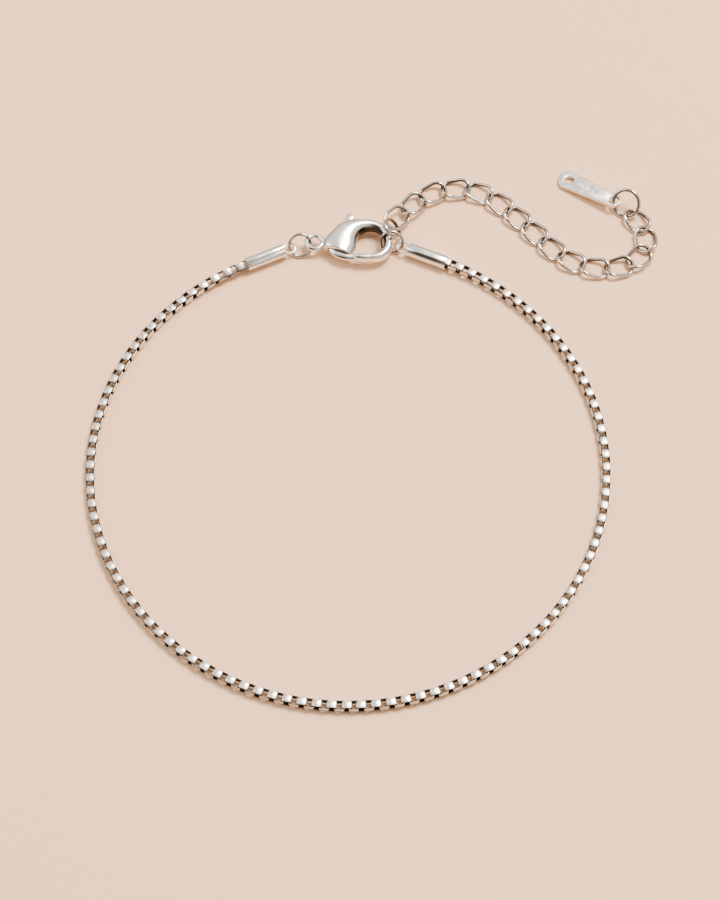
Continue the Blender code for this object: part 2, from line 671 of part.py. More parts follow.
def make_extender():
    """The twisted links one after another along the route, the ring at their end and the tag on it."""
    pitch = EXT_LINK_LENGTH - 2 * EXT_WIRE - EXT_PLAY
    radius, half = (EXT_LINK_WIDTH - EXT_WIRE) / 2, (EXT_LINK_LENGTH - EXT_WIRE) / 2
    low = 0.0  # how far a twisted link reaches below its middle
    for i in range(64):
        a = math.pi * i / 64
        x = radius * math.cos(a) + math.copysign(half - radius, math.cos(a))
        low = max(low, radius * math.sin(a) * math.sin(EXT_LINK_TWIST * abs(x) / half))
    height = low + EXT_WIRE / 2
    for number, pose in enumerate(FIRST_LINKS, 1):
        at, turn = posed(pose)
        oval_link(f"extender_link_{number:02d}", at, turn, math.radians(pose["twist"]))
    start = at + turn @ Vector((pitch / 2, 0, 0))
    route, index = route_points(start.to_2d(), pitch), 0
    for number in range(len(FIRST_LINKS) + 1, EXT_LINKS + 1):
        flat = math.sqrt(pitch**2 - (start.z - height) ** 2)
        end, index = next_on_route(route, start.to_2d(), index, flat)
        end = Vector((end.x, end.y, height))
        oval_link(f"extender_link_{number:02d}", (start + end) / 2, aimed(start, end, 0.0), EXT_LINK_TWIST)
        start = end
    # the tag's ring passes through the last link and through the tag's eye
    offset, turn = posed(TAG_RING)
    ring_of_wire("tag_ring", Vector((start.x, start.y, 0)) + offset, turn, TAG_RING_SIZE, EXT_WIRE)
    make_tag(start.to_2d() + Vector(TAG_EYE_AT) * MM)


# the whole bracelet


def posed(pose):
    """The place and the axes of a pose in the named lists."""
    return Vector(pose["at"]) * MM, axes(*(math.radians(pose[k]) for k in ("yaw", "pitch", "roll")))


def main():
    """Clears the scene and builds every piece."""
    for obj in list(bpy.data.objects):
        bpy.data.objects.remove(obj)

    make_clasp_body()
    make_lever()
    make_rivet()

    # left side: the ring lies in the eye, and the cap's tongue lies on the ring
    across = (JUMP_RING_SIZE - JUMP_WIRE) / 2
    in_eye = EYE_HOLE / 2 - JUMP_WIRE / 2 - WIRE_PLAY
    pull = Vector((math.cos(LEFT_RING_YAW), math.sin(LEFT_RING_YAW), 0))
    at_eye = on_clasp(EYE_AT.x, EYE_AT.y) - pull * in_eye
    tongue_height = cap_height(LEFT_CAP_ROLL)
    fall = at_eye.z - tongue_height
    at_tongue = at_eye - pull * math.sqrt((2 * across) ** 2 - fall**2)
    at_tongue.z = tongue_height
    turn = aimed(at_tongue, at_eye, JUMP_TILT)
    ring_of_wire("jump_ring_left", (at_tongue + at_eye) / 2, turn, JUMP_RING_SIZE, JUMP_WIRE)
    left_hole = at_tongue

    # right side: the hook holds the right cap's ring, which the extender starts from
    at, turn = posed(RIGHT_RING)
    ring_of_wire("jump_ring_right", at, turn, JUMP_RING_SIZE, JUMP_WIRE)
    right_hole = Vector((*RIGHT_HOLE, 0)) * MM
    right_hole.z = cap_height(0.0)

    loop = loop_shape(left_hole, right_hole)
    _, half_arc, _, lean = loop
    make_cap("end_cap_left", left_hole, lean - half_arc + math.pi, LEFT_CAP_ROLL, True)
    make_cap("end_cap_right", right_hole, lean + half_arc, 0.0, False)
    make_half_chain("box_chain_left", -1, loop)
    make_half_chain("box_chain_right", 1, loop)
    make_extender()


main()
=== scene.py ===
"""The looks of the Venetian chain bracelet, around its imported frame.

Sizes are in millimetres, as in the part's source, and turn into metres when a piece is made.
"""

import math

import bmesh
import bpy
import numpy as np
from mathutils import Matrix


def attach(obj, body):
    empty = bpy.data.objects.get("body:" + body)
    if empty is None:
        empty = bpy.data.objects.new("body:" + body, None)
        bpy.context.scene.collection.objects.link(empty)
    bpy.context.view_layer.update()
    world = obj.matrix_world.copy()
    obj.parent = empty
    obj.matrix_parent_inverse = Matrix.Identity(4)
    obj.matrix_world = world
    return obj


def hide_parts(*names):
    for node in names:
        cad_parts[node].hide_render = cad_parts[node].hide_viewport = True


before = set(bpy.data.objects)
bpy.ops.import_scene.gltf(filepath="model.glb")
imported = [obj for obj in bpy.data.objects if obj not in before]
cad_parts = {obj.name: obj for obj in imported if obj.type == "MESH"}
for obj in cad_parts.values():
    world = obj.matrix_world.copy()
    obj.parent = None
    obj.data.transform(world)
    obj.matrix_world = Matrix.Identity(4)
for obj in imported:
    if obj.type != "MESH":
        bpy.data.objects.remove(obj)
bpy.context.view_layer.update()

MM = 0.001
TAU = 2 * math.pi

# Venetian (box) chain
CHAIN_WIDTH = 1.05
LINK_PITCH = 0.75
STRIP_THICKNESS = 0.14
STRIP_PLAY = 0.02
LINKS_SHOWING = 195
LINKS_IN_CAP = 2
JOIN_OVERLAP = 0.03
HALF_CHAIN_GAP = 0.06
LIFT_LENGTH = 8.0
LINK_CORNER = 0.15  # outside corner of the bent strip
STRIP_CROWN = 0.02  # the strip's middle stands above its edges
CROWN_TAKEN = 0.3  # the share of the crown that is taken off the link's width
LINK_PLAY = 0.01  # between two links' end walls
# the strip's section, round from the middle of its outer face: across it as a share of half its breadth, in
# from the outer face by so many crowns and by so many strip thicknesses, and how much painted shade darkens
# that point, in place of the shadow in the notches between links
STRIP_SECTION = np.array([
    (0.0, 0.0, 0.0, 0.0), (0.72, 0.5, 0.0, 0.05), (0.96, 1.4, 0.0, 0.5),
    (1.0, 0.0, 0.6, 1.0), (0.90, 0.0, 1.0, 1.0), (-0.90, 0.0, 1.0, 1.0),
    (-1.0, 0.0, 0.6, 1.0), (-0.96, 1.4, 0.0, 0.5), (-0.72, 0.5, 0.0, 0.05),
])  # fmt: skip

# folded end caps
CAP_WALL = 0.17
CAP_PLAY = 0.045
CAP_CORNER = 0.30
CAP_ROUND = 0.62
CAP_FOLD_LENGTH = 4.5
CAP_END_WALL = 0.25
CAP_END_STEP = 0.08
CAP_END_TAPER = 0.93
CAP_SOFT_EDGE = 0.035
CAP_SEAM = 0.05
CAP_SEAM_ROUND = 0.09
LEFT_CAP_ROLL = math.radians(25.0)
TONGUE_THICKNESS = 0.28
TONGUE_RIM = 0.16
TONGUE_ROOT = 1.00
TONGUE_HOLE = 1.10
TONGUE_REACH = 0.62
TONGUE_SUNK = 0.7
TONGUE_SWEEP = math.pi * 1.32
CAP_INSIDE = CHAIN_WIDTH / 2 + CAP_PLAY
CAP_OUTSIDE = CAP_INSIDE + CAP_WALL
CAP_REACH = CAP_FOLD_LENGTH + TONGUE_REACH

# jump rings, extender and tag ring
JUMP_RING_SIZE = 2.80
JUMP_WIRE = 0.34
JUMP_TILT = math.radians(37.0)
EXT_LINK_LENGTH = 3.53
EXT_LINK_WIDTH = 2.60
EXT_WIRE = 0.40
EXT_PLAY = 0.04
EXT_LINK_TWIST = math.radians(25.0)
EXT_LINKS = 16
TAG_RING_SIZE = 3.35
WIRE_PLAY = 0.06
RING_SIDES = 14  # round a ring's wire
LINK_SIDES = 12  # round a curb link's wire
INNER_PAINTED_SHADE = 0.9  # how much painted shade darkens the wires' inner side

# lobster clasp
CLASP_THICKNESS = 2.24
HOOK_OPENING = 3.00
EYE_HOLE = 1.20
EYE_WIRE = 0.50
EYE_SETBACK = 6.10
EYE_SWELL = 0.04  # the polished eye's round wire stands this far outside the part's faceted one
LEVER_THICKNESS = 0.72
SLOT_PLAY = 0.08
LEVER_HUB = 0.92
LEVER_SWING = math.radians(20.0)
PIVOT_SETBACK = 3.90
PIVOT_OFFSET = -0.10
RIVET_SIZE = 0.70
RIVET_PLAY = 0.04
RIVET_LENGTH = 1.70
GATE_SEAM = 0.07
TRIGGER_ANGLE = math.radians(62.5)
TRIGGER_REACH = 4.10
TRIGGER_WIDTH = 0.96
BODY_END_ROUND = 0.12
GATE_END_ROUND = 0.1
NUB_ROUND = 0.3

# end tag
TAG_LENGTH = 7.75
TAG_WIDTH = 2.35
TAG_EYE_WIDTH = 1.62
TAG_THICKNESS = 0.42
TAG_HOLE = 1.00
TAG_EYE_HOLE = 1.06
TAG_HOLE_SETBACK = 1.30
TAG_YAW = math.radians(146.52)
TAG_LEAN = math.radians(6.33)
PUNCH_MARKS = 3  # plain punched dots, where the real tag carries its mark
PUNCH_SIZE = 0.42
PUNCH_STEP = 0.66
PUNCH_DEPTH = 0.07
PUNCH_SHIFT = 0.25  # the row's middle is this far nearer to the free end than the middle between the holes
TAG_SOFT_EDGE = 0.07

# places on the floor plane
CLASP_AT = np.array([-0.833, 22.326])
LEFT_RING_YAW = math.radians(11.0)
RIGHT_HOLE = np.array([2.721, 21.917])
RIGHT_RING = {"at": (1.472, 22.320, 1.133), "yaw": 1.72, "pitch": 4.46, "roll": 51.62}
FIRST_LINKS = [
    {"at": (1.582, 23.883, 1.441), "yaw": 60.71, "pitch": -45.13, "roll": 37.35, "twist": 0.0},
    {"at": (2.077, 25.624, 0.952), "yaw": 47.08, "pitch": -11.46, "roll": 22.84, "twist": 2.16},
]
TAG_RING = {"at": (-0.425, 0.663, 1.247), "yaw": 135.47, "pitch": 13.38, "roll": -43.31}
TAG_EYE_AT = np.array([-1.769, 1.144])
EXTENDER_ROUTE = np.array([
    (0.00, 0.00), (0.68, 0.73), (1.62, 1.15), (2.61, 1.18), (3.52, 0.80), (4.98, -0.63), (6.40, -2.17),
    (7.24, -2.60), (8.21, -2.72), (9.22, -2.46), (9.85, -1.71), (9.78, -0.80), (9.28, -0.06), (8.44, 0.72),
])  # fmt: skip

# the clasp's sections from the hook's tip round to the lever's side: inner angle, inner, outer angle, outer,
# half height. Distances are shares of the opening's radius, heights of half the clasp's thickness
BODY_SECTIONS = np.array([
    (-91.0, 1.09, -91.0, 1.65, 0.60), (-75.0, 1.08, -75.0, 1.68, 0.60), (-55.0, 1.06, -55.0, 1.72, 0.60),
    (-30.0, 1.02, -30.0, 1.72, 0.58), (0.0, 1.00, 0.0, 1.66, 0.56), (30.0, 1.00, 30.0, 1.67, 0.57),
    (60.0, 1.02, 60.0, 1.73, 0.62), (85.0, 1.04, 85.0, 1.81, 0.68), (105.0, 1.04, 105.0, 1.94, 0.76),
    (122.0, 1.01, 122.0, 2.19, 0.87), (138.0, 0.99, 138.0, 2.58, 0.96), (152.0, 0.98, 150.0, 2.84, 1.00),
    (166.0, 0.98, 161.0, 3.00, 1.00), (180.0, 0.99, 171.0, 3.26, 0.97), (197.0, 1.05, 178.0, 3.46, 0.94),
    (212.0, 1.30, 184.0, 3.54, 0.90), (223.0, 1.82, 188.0, 3.50, 0.85),
])  # fmt: skip
# the lever's gate from its tip: x, y, half width, half height
GATE_SECTIONS = np.array([
    (-0.05, -1.370, 0.28, 0.60), (-0.40, -1.385, 0.28, 0.61),
    (-0.75, -1.365, 0.28, 0.61), (-1.02, -1.315, 0.26, 0.56),
])  # fmt: skip
# the lever's arm from the pivot to the gate, and the section that blends it into the gate: x, y, half width
ARM_LINE = np.array([(-2.60, -0.067, 0.61), (-2.43, -0.63, 0.57), (-1.83, -1.07, 0.45), (-0.95, -1.32, 0.24)])
ARM_BLEND = (-1.16, -1.285, 0.27)


# meshes


def skin(grid, along_closed=False):
    """Quads over points[along, around, 3], closed round. Ends that stay open get one flat face each."""
    along, around = grid.shape[:2]
    rows = np.arange(along if along_closed else along - 1)[:, None]
    cols = np.arange(around)[None, :]
    ahead, side = (rows + 1) % along, (cols + 1) % around
    quads = np.stack(
        [rows * around + cols, ahead * around + cols, ahead * around + side, rows * around + side], axis=-1
    ).reshape(-1, 4)
    faces = quads.tolist()
    if not along_closed:
        faces += [list(range(around)), list(range(along * around - 1, (along - 1) * around - 1, -1))]
    return grid.reshape(-1, 3), faces


def shape(name, *shells):
    """A mesh object of one or more closed shells, given in millimetres, with its faces turned outwards."""
    points = np.concatenate([p for p, _ in shells]) * MM
    starts = np.cumsum([0] + [len(p) for p, _ in shells])
    faces = [[v + start for v in face] for (_, fs), start in zip(shells, starts) for face in fs]
    mesh = bpy.data.meshes.new(name)
    mesh.from_pydata(points.tolist(), [], faces)
    shell = bmesh.new()
    shell.from_mesh(mesh)
    bmesh.ops.recalc_face_normals(shell, faces=shell.faces)
    shell.to_mesh(mesh)
    shell.free()
    obj = bpy.data.objects.new(name, mesh)
    bpy.context.scene.collection.objects.link(obj)
    return obj


def paint_shade(obj, values):
    """Marks how much painted shade darkens each point, 0 to 1, for the metals to darken, in place of the shade
    of its own piece.
    """
    marks = obj.data.attributes.new("paint_shade", "FLOAT", "POINT")
    marks.data.foreach_set("value", np.asarray(values, np.float32))
    return obj


def carved(obj, *steps):
    """The object after each (operation, other) Boolean in turn. The others are used up."""
    for operation, other in steps:
        cut = obj.modifiers.new(operation.lower(), "BOOLEAN")
        cut.object, cut.operation, cut.solver = other, operation, "EXACT"
    settle(obj)
    for _, other in steps:
        bpy.data.objects.remove(other)
    return obj


def settle(obj):
    """Turns the modifiers' result into the object's own mesh."""
    bpy.context.view_layer.update()
    made = bpy.data.meshes.new_from_object(obj.evaluated_get(bpy.context.evaluated_depsgraph_get()))
    obj.modifiers.clear()
    obj.data = made


def soften(obj, width, angle, segments=2):
    """Rounds the edges that are sharper than this angle."""
    bevel = obj.modifiers.new("soft_edges", "BEVEL")
    bevel.width, bevel.segments = width * MM, segments
    bevel.limit_method, bevel.angle_limit = "ANGLE", math.radians(angle)
    bevel.use_clamp_overlap = True
    settle(obj)


def dress(obj, metal, node, body="bracelet", sharp=38.0):
    """Gives a piece its metal, its shading and its place in the frame."""
    obj.data.materials.clear()
    obj.data.materials.append(metal)
    obj.data.shade_smooth()
    obj.data.set_sharp_from_angle(angle=math.radians(sharp))
    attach(obj, body)
    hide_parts(node)
    return obj


# directions and curves


def axes(yaw, pitch=0.0, roll=0.0):
    """Turns about z, then up by pitch, then about the piece's own length.

    The columns are the piece's length, breadth and height.
    """
    yaw, pitch, roll = np.broadcast_arrays(*(np.asarray(v, float) for v in (yaw, pitch, roll)))
    cy, sy = np.cos(yaw), np.sin(yaw)
    cp, sp = np.cos(pitch), np.sin(pitch)
    cr, sr = np.cos(roll), np.sin(roll)
    length = np.stack([cy * cp, sy * cp, sp], -1)
    level = np.stack([-sy, cy, np.zeros_like(cy)], -1)
    upright = np.cross(length, level)
    breadth = level * cr[..., None] + upright * sr[..., None]
    height = upright * cr[..., None] - level * sr[..., None]
    return np.stack([length, breadth, height], -1)


def aimed(start, end, roll=0.0):
    """Axes whose length runs from start to end."""
    d = np.asarray(end, float) - np.asarray(start, float)
    return axes(math.atan2(d[1], d[0]), math.atan2(d[2], math.hypot(d[0], d[1])), roll)


def smooth(t):
    """0 to 1 with level ends: 3 t squared less 2 t cubed."""
    t = np.clip(t, 0.0, 1.0)
    return t * t * (3 - 2 * t)


def through(points, steps):
    """A Catmull-Rom curve through rows of numbers, this many steps from each to the next."""
    p = np.concatenate([[2 * points[0] - points[1]], points, [2 * points[-1] - points[-2]]])
    a, b, c, d = (p[i : len(p) - 3 + i, None, :] for i in range(4))
    t = (np.arange(steps) / steps)[None, :, None]
    curve = 0.5 * (2 * b + (c - a) * t + (2 * a - 5 * b + 4 * c - d) * t**2 + (3 * b - a - 3 * c + d) * t**3)
    return np.concatenate([curve.reshape(-1, points.shape[1]), points[-1:]])


def tube(path, ups, radius, sides=RING_SIDES):
    """A closed wire: a circle of this radius carried round a closed path, its height along ups."""
    ahead = np.roll(path, -1, axis=0) - np.roll(path, 1, axis=0)
    ahead /= np.linalg.norm(ahead, axis=1)[:, None]
    across = np.cross(ahead, ups)
    across /= np.linalg.norm(across, axis=1)[:, None]
    ups = np.cross(across, ahead)
    turn = (TAU * (np.arange(sides) + 0.5) / sides)[None, :, None]
    return skin(path[:, None] + radius * (np.cos(turn) * across[:, None] + np.sin(turn) * ups[:, None]), True)


def wire_with_painted_shade(name, shell, sides=RING_SIDES):
    """A wire's object, its inner side darkened by painted shade, duller than the outer one that is left
    bright.
    """
    turn = TAU * (np.arange(sides) + 0.5) / sides
    return paint_shade(shape(name, shell), np.tile(INNER_PAINTED_SHADE * smooth(-np.cos(turn)), len(shell[0]) // sides))


def ring_of_wire(centre, turn, size, wire, sections=72):
    """A round ring: a wire carried round a circle in the turned plane."""
    a = TAU * np.arange(sections) / sections
    flat = np.stack([np.cos(a), np.sin(a), 0 * a], -1) * (size - wire) / 2
    return tube(np.asarray(centre) + flat @ turn.T, np.tile(turn[:, 2], (sections, 1)), wire / 2)


def oval_link(centre, turn, twist, sections=56):
    """An oval link: two half circles and two straights.

    Each point is turned about the link's length by twist times x / half, x running from -half to half.
    """
    half, radius = (EXT_LINK_LENGTH - EXT_WIRE) / 2, (EXT_LINK_WIDTH - EXT_WIRE) / 2
    a = TAU * (np.arange(sections) + 0.5) / sections
    x = radius * np.cos(a) + np.copysign(half - radius, np.cos(a))
    lean, y = twist * x / half, radius * np.sin(a)
    path = np.stack([x, y * np.cos(lean), y * np.sin(lean)], -1)
    ups = np.stack([0 * a, -np.sin(lean), np.cos(lean)], -1)
    return tube(np.asarray(centre) + path @ turn.T, ups @ turn.T, EXT_WIRE / 2, LINK_SIDES)


def prism(outline, bottom, top):
    """A plate: the outline at two heights."""
    outline = np.asarray(outline, float)
    return skin(np.stack([np.column_stack([outline, np.full(len(outline), z)]) for z in (bottom, top)]))


def arc(centre, radius, count, start=0.0, sweep=TAU):
    """Points on a circle, or on an arc with both its ends."""
    a = start + sweep * np.arange(count) / (count if sweep == TAU else count - 1)
    return np.asarray(centre) + radius * np.stack([np.cos(a), np.sin(a)], -1)


# Venetian chain


def cap_height(roll):
    """The height of a cap's axis when its rounded square lies on the floor, leaning by roll."""
    flat = CAP_OUTSIDE - CAP_ROUND
    return flat * (abs(math.sin(roll)) + math.cos(roll)) + CAP_ROUND


def loop_shape(left, right):
    """The circle whose arc of chain, with a straight cap at each end, reaches between the tongues' holes."""
    half_chord, chain = np.linalg.norm(right - left) / 2, LINKS_SHOWING * LINK_PITCH
    low, high = 2.2, math.pi - 0.05  # half the arc's angle lies between these
    for _ in range(60):
        half = (low + high) / 2
        radius = chain / (2 * half)
        if radius * math.sin(half) + CAP_REACH * math.cos(half) > half_chord:
            low = half
        else:
            high = half
    away = (right - left) / np.linalg.norm(right - left)
    down = np.array([away[1], -away[0]])
    centre = (left + right) / 2 + down * (CAP_REACH * math.sin(half) - radius * math.cos(half))
    return radius, half, centre, math.atan2(away[1], away[0])


def link_places(run, loop):
    """Points and axes of the chain at these lengths from the loop's bottom.

    They follow the circle, then run straight into a cap.
    """
    radius, half, centre, lean = loop
    mouth = radius * half
    inside = np.maximum(np.abs(run) - mouth, 0.0)
    angle = np.copysign(np.minimum(np.abs(run), mouth) / radius, run)
    x = radius * np.sin(angle) + np.cos(angle) * np.copysign(inside, run)
    y = -radius * np.cos(angle) + np.sin(angle) * np.copysign(inside, run)
    lift = smooth((np.abs(run) - mouth + LIFT_LENGTH) / LIFT_LENGTH)
    roll_in = np.where(run < 0, LEFT_CAP_ROLL, 0.0)
    height = np.where(run < 0, cap_height(LEFT_CAP_ROLL), cap_height(0.0))
    z = CHAIN_WIDTH / 2 + (height - CHAIN_WIDTH / 2) * lift
    c, s = math.cos(lean), math.sin(lean)
    points = np.stack([centre[0] + x * c - y * s, centre[1] + x * s + y * c, z], -1)
    return points, axes(angle + lean, 0.0, -lift * roll_in)


def box_link():
    """One bent link: a crowned strip carried round a square with rounded corners, and its points' painted
    shade.
    """
    length = LINK_PITCH + 2 * STRIP_THICKNESS + LINK_PLAY
    width = CHAIN_WIDTH - 2 * STRIP_CROWN * CROWN_TAKEN
    a = math.pi / 2 * (np.arange(4)[:, None] + np.array([0.0, 0.5, 1.0]))  # four corners of three points
    corner = np.array([(1, 1), (-1, 1), (-1, -1), (1, -1)])[:, None]
    out = np.stack([np.cos(a), np.sin(a)], -1)
    middle = (corner * (np.array([length, width]) / 2 - LINK_CORNER)).astype(float) + 0 * out
    middle, out = middle.reshape(-1, 2), out.reshape(-1, 2)
    breadth = (CHAIN_WIDTH - 2 * STRIP_THICKNESS - 2 * STRIP_PLAY) / 2
    across, crowns, thicknesses, shade = STRIP_SECTION.T
    across = across * breadth
    out_by = LINK_CORNER - crowns * STRIP_CROWN - thicknesses * STRIP_THICKNESS
    grid = np.empty((len(out), len(across), 3))
    grid[..., 0] = middle[:, :1] + out[:, :1] * out_by
    grid[..., 2] = middle[:, 1:] + out[:, 1:] * out_by
    grid[..., 1] = across
    return *skin(grid, True), np.tile(shade, len(out))


def half_chain(side, loop):
    """Every link on one side of the loop's bottom, each turned a quarter against the one before."""
    count = (LINKS_SHOWING + 2 * LINKS_IN_CAP + 1) // 2
    i = np.arange(count)
    first = (LINK_PITCH - JOIN_OVERLAP - HALF_CHAIN_GAP) / 2
    places, turns = link_places(side * (first + i * LINK_PITCH), loop)
    quarter = axes(0.0, 0.0, math.pi / 2)
    flip = ((i + (side > 0)) % 2).astype(bool)
    turns = np.where(flip[:, None, None], turns @ quarter, turns)
    points, faces, shade = box_link()
    placed = np.einsum("nij,vj->nvi", turns, points) + places[:, None]
    faces = (np.array(faces)[None] + (i * len(points))[:, None, None]).reshape(-1, 4)
    return placed.reshape(-1, 3), faces.tolist(), np.tile(shade, count)


# folded caps


def rounded_square(half, radius, turns=8):
    """A square's outline with round corners, clockwise from its top right one."""
    a = np.radians(np.array([90, 0, -90, -180])[:, None] - 90 * np.arange(turns + 1) / turns)
    corner = np.array([(1, 1), (1, -1), (-1, -1), (-1, 1)])[:, None] * (half - radius)
    return (corner + radius * np.stack([np.cos(a), np.sin(a)], -1)).reshape(-1, 2)


def cap_section():
    """The folded sheet, seam up: from one flap's rounded edge round to the other's, and back inside."""
    slit, soft = CAP_SEAM / 2, CAP_SEAM_ROUND
    a = np.radians(np.arange(0, 90, 15))
    edge = np.stack([slit + soft * (1 - np.cos(a)), CAP_OUTSIDE - soft * (1 - np.sin(a))], -1)
    return np.concatenate([
        edge, rounded_square(CAP_OUTSIDE, CAP_ROUND), (edge * (-1, 1))[::-1],
        [(-slit, CAP_INSIDE)], rounded_square(CAP_INSIDE, CAP_CORNER)[::-1], [(slit, CAP_INSIDE)],
    ])  # fmt: skip


def end_cap(name, hole, direction, roll, seam_up):
    """The fold, its end wall and its tongue made one, with the tongue's hole at this point."""
    turn = axes(direction)
    fold = axes(direction, 0.0, roll + (0.0 if seam_up else math.pi))
    mouth = hole - turn[:, 0] * CAP_REACH

    def along(section, stations, by):
        sections = [
            np.column_stack([np.full(len(section), x), -section[:, 0] * share, section[:, 1] * share])
            for x, share in stations
        ]
        return skin(mouth + np.stack(sections) @ by.T)

    sheet = [(x, 1.0) for x in np.linspace(0.0, CAP_FOLD_LENGTH - CAP_END_STEP, 4)]
    body = shape(name, along(cap_section(), sheet, fold))
    plug = rounded_square(CAP_INSIDE + CAP_WALL / 2, CAP_CORNER + CAP_WALL / 2)
    stations = (
        (CAP_FOLD_LENGTH - CAP_END_WALL, 1.0),
        (CAP_FOLD_LENGTH - CAP_END_STEP / 2, 1.0),
        (CAP_FOLD_LENGTH, CAP_END_TAPER),
    )
    wall = shape("end_wall", along(plug, stations, fold))
    root_ends = CAP_FOLD_LENGTH - CAP_END_WALL * TONGUE_SUNK, CAP_FOLD_LENGTH + CAP_END_STEP
    root = np.array([(x, TONGUE_ROOT / 2) for x in root_ends])
    round_end = arc((CAP_REACH, 0), TONGUE_HOLE / 2 + TONGUE_RIM, 33, -TONGUE_SWEEP / 2, TONGUE_SWEEP)
    plan = np.concatenate([root[::-1], root * (1, -1), round_end])
    plate, faces = prism(plan, -TONGUE_THICKNESS / 2, TONGUE_THICKNESS / 2)
    tongue = shape("tongue", (mouth + plate @ turn.T, faces))
    bore, faces = prism(arc((CAP_REACH, 0), TONGUE_HOLE / 2, 40), -CAP_OUTSIDE, CAP_OUTSIDE)
    drill = shape("bore", (mouth + bore @ turn.T, faces))
    carved(body, ("UNION", wall), ("UNION", tongue), ("DIFFERENCE", drill))
    soften(body, CAP_SOFT_EDGE, 50)
    return body


# lobster clasp

CLASP_MID = CLASP_THICKNESS / 2
HOOK_RADIUS = HOOK_OPENING / 2
PIVOT = np.array([-PIVOT_SETBACK, PIVOT_OFFSET])


def on_clasp(shell):
    """A shell from the clasp's own frame to its place on the floor."""
    points, faces = shell
    return points + (*CLASP_AT, CLASP_MID), faces


def oval_sections(inner, outer, half, sides=40, power=2.2):
    """Upright rounded sections between inner and outer points.

    Each is a superellipse of this power, and half is its height above the middle plane.
    """
    turn = TAU * (np.arange(sides) + 0.5) / sides
    c, s = np.cos(turn), np.sin(turn)
    c, s = np.copysign(np.abs(c) ** (2 / power), c), np.copysign(np.abs(s) ** (2 / power), s)
    grid = np.empty((len(inner), sides, 3))
    grid[..., :2] = ((inner + outer) / 2)[:, None] + ((outer - inner) / 2)[:, None] * c[:, None]
    grid[..., 2] = np.asarray(half)[:, None] * s
    return grid


def round_ends(grid, reach, steps=5):
    """Draws both ends in by a quarter circle of this reach, so that they close softly."""
    for _ in range(2):
        centre, back = grid[0].mean(0), grid[1].mean(0)
        ahead = (centre - back) / np.linalg.norm(centre - back)
        size = np.linalg.norm(grid[0] - centre, axis=1).min()
        a = np.linspace(math.pi / 2, 0.0, steps)[:, None, None]
        shrink = 1 - reach / size * (1 - np.cos(a))
        rings = centre + (grid[0] - centre) * shrink + ahead * reach * (np.sin(a) - 1)
        grid = np.concatenate([rings, grid[1:]])[::-1]
    return grid


def sections_along(line, half_width, half_height, power=2.2):
    """Sections square to a line of the clasp's middle plane."""
    ahead = np.gradient(line, axis=0)
    ahead /= np.linalg.norm(ahead, axis=1)[:, None]
    side = np.stack([ahead[:, 1], -ahead[:, 0]], -1) * half_width[:, None]
    return oval_sections(line + side, line - side, half_height, power=power)


def clasp_body():
    """The hook and domed body lofted through the table's sections, with the eye and less the lever's slot."""
    table = through(BODY_SECTIONS, 7)
    a, b = np.radians(table[:, 0]), np.radians(table[:, 2])
    inner = HOOK_RADIUS * table[:, 1:2] * np.stack([np.cos(a), np.sin(a)], -1)
    outer = HOOK_RADIUS * table[:, 3:4] * np.stack([np.cos(b), np.sin(b)], -1)
    loft = round_ends(oval_sections(inner, outer, CLASP_MID * table[:, 4]), BODY_END_ROUND)
    body = shape("clasp_shell", on_clasp(skin(loft)))
    eye_radius = (EYE_HOLE + EYE_WIRE) / 2
    ring = np.column_stack([arc((-EYE_SETBACK, 0.0), eye_radius, 64), np.zeros(64)])
    wire = tube(ring, np.tile((0.0, 0.0, 1.0), (64, 1)), EYE_WIRE / 2 + EYE_SWELL, 20)
    eye = shape("eye", on_clasp(wire))
    half = LEVER_THICKNESS / 2 + SLOT_PLAY
    cuts = [
        (arc(PIVOT, LEVER_HUB + SLOT_PLAY, 56), half),
        (swing_outline(), half),
        (arm_clearance(), half),
        (arc(PIVOT, RIVET_SIZE / 2 + RIVET_PLAY, 40), RIVET_LENGTH / 2 + RIVET_PLAY),
    ]
    tools = [shape("cut", on_clasp(prism(outline, -deep, deep))) for outline, deep in cuts]
    carved(body, ("UNION", eye), *[("DIFFERENCE", tool) for tool in tools])
    points = np.array([v.co for v in body.data.vertices]) / MM - (*CLASP_AT, CLASP_MID)
    # painted shade and painted dark reflection on the hook's inner wall
    return paint_shade(body, shade_in_hook(points))


def shade_in_hook(points):
    """How much painted shade darkens points of the clasp's own frame, 0 to 1, in place of the shade and dark
    reflections in the hook's opening.

    Its wall is marked out to 1.22 of the opening's radius above the middle plane and to 1.45 below it, on the
    side away from the lever, and up to 0.95 mm above the middle plane.
    """
    away = np.linalg.norm(points[:, :2], axis=1) / HOOK_RADIUS
    far_side = smooth((points[:, 1] + points[:, 0] / 2) / HOOK_RADIUS + 0.6)
    wall = np.where(points[:, 2] > 0, smooth((1.22 - away) / 0.14), smooth((1.45 - away) / 0.2))
    return wall * far_side * smooth((0.95 - points[:, 2]) / 0.3)


def spun(points, angle):
    """Points turned about the lever's pivot."""
    c, s = math.cos(angle), math.sin(angle)
    return PIVOT + (points - PIVOT) @ np.array([(c, s), (-s, c)])


def swing_outline():
    """What the trigger arm sweeps, with its clearance."""
    reach, side = TRIGGER_REACH + 2 * TRIGGER_WIDTH, TRIGGER_WIDTH / 2 + SLOT_PLAY
    out = []
    for angle, across in ((TRIGGER_ANGLE, -side), (TRIGGER_ANGLE + LEVER_SWING, side)):
        along = np.array([math.cos(angle), math.sin(angle)])
        left = np.array([-along[1], along[0]])
        ends = [PIVOT + left * across, PIVOT + along * reach + left * across]
        out += ends if across < 0 else ends[::-1]
    return out


def arm_edges():
    """The lever arm's outline on its opening side and on its outer side."""
    line = ARM_LINE[:, :2] * HOOK_RADIUS
    line[0] = PIVOT
    ahead = np.concatenate([line[1:2] - line[:1], line[2:] - line[:-2], line[-1:] - line[-2:-1]])
    ahead /= np.linalg.norm(ahead, axis=1)[:, None]
    left = np.stack([-ahead[:, 1], ahead[:, 0]], -1) * ARM_LINE[:, 2:] * HOOK_RADIUS
    return line + left, line - left


